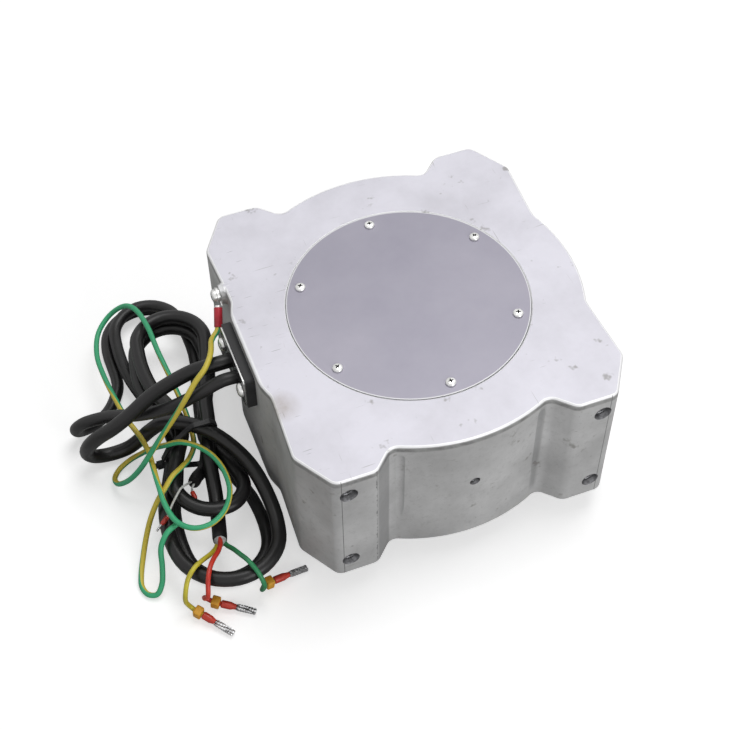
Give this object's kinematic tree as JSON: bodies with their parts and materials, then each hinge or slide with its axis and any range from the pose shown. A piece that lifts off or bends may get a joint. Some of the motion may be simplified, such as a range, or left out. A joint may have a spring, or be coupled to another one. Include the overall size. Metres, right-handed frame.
{
  "type": "traction motor",
  "caption": "Flat square-lugged permanent-magnet drive motor with a round rear cover, side cable clamp, earth wire, coiled power and encoder cables and a toothed belt pulley beneath.",
  "frame": {"origin": "mouth of the centre thread in the shaft's drive end, on the shaft axis, level with the pulley face that the motor stands on", "axes": "+Z along the shaft axis from the drive end to the rear cover; -Y out of the drilled lug faces seen in the picture; -X out of the cable side"},
  "size_m": [0.2774, 0.2322, 0.1029],
  "materials": {
    "cast_aluminium": "fine cast, satin",
    "cover_film": "satin sheet",
    "zinc_steel": "zinc plated",
    "black_steel": "black oxide",
    "ground_steel": "ground",
    "black_rubber": "matt",
    "lamination": "stacked sheet",
    "bobbin_plastic": "moulded",
    "copper": "enamelled wire",
    "cage_brass": "satin",
    "magnet": "sintered",
    "board_green": "solder mask",
    "black_plastic": "moulded",
    "white_plastic": "moulded",
    "cable_black": "satin sheath",
    "wire_green": "insulation",
    "wire_red": "insulation",
    "wire_yellow": "insulation",
    "wire_white": "insulation",
    "sleeve_red": "vinyl",
    "marker_orange": "vinyl",
    "tinned": "tinned copper"
  },
  "bodies": {
    "motor_case": {"housing": "cast_aluminium", "rear_cover": "cover_film", "cover_gasket": "black_rubber", "cover_screws": "zinc_steel", "end_shield": "cast_aluminium", "shield_screws": "black_steel", "shaft_seal": "black_rubber", "stator_core": "lamination", "coil_bobbins": "bobbin_plastic", "stator_coils": "copper", "phase_leads": "wire_red", "front_bearing_outer": "ground_steel", "rear_bearing_outer": "ground_steel", "bearing_circlip": "black_steel", "wave_washer": "ground_steel", "encoder_board": "board_green", "board_plug": "white_plastic", "board_posts": "cage_brass", "board_screws": "zinc_steel", "signal_wires": "wire_yellow", "inner_cables": "cable_black", "clamp_block": "black_rubber", "clamp_plate": "black_steel", "clamp_screws": "zinc_steel", "earth_screw": "zinc_steel", "earth_washer": "zinc_steel", "ring_terminal": "tinned", "terminal_sleeve": "sleeve_red", "power_cable": "cable_black", "power_hank": "cable_black", "power_tail": "cable_black", "encoder_cable": "cable_black", "encoder_hank": "cable_black", "encoder_tail": "cable_black", "earth_wire": "wire_green", "earth_coil": "wire_green", "red_core": "wire_red", "yellow_core": "wire_yellow", "green_core": "wire_green", "core_markers": "marker_orange", "pin_sleeves": "sleeve_red", "pin_tips": "tinned", "encoder_cores": "wire_white", "cable_tie": "black_plastic"},
    "rotor": {"front_bearing_inner": "ground_steel", "rear_bearing_inner": "ground_steel", "shaft_circlip": "black_steel", "output_shaft": "ground_steel", "shaft_key": "ground_steel", "drive_pulley": "ground_steel", "pulley_flanges": "zinc_steel", "grub_screws": "black_steel", "rotor_hub": "lamination", "rotor_magnets": "magnet", "magnet_holder": "cast_aluminium", "encoder_magnet": "magnet"},
    "front_ball_cage": {"front_balls": "ground_steel", "front_cage": "cage_brass"},
    "rear_ball_cage": {"rear_balls": "ground_steel", "rear_cage": "cage_brass"}
  },
  "joints": [
    {"name": "shaft_spin", "type": "hinge", "parent": "motor_case", "child": "rotor", "pos_m": [0, 0, 0.048], "axis": [0, 0, 1], "continuous": true},
    {"name": "front_cage_spin", "type": "hinge", "parent": "motor_case", "child": "front_ball_cage", "pos_m": [0, 0, 0.029], "axis": [0, 0, 1], "continuous": true},
    {"name": "rear_cage_spin", "type": "hinge", "parent": "motor_case", "child": "rear_ball_cage", "pos_m": [0, 0, 0.066], "axis": [0, 0, 1], "continuous": true}
  ],
  "couplings": [
    {"joint": "front_cage_spin", "follows": "shaft_spin", "ratio": 0.3815},
    {"joint": "rear_cage_spin", "follows": "shaft_spin", "ratio": 0.3815}
  ]
}
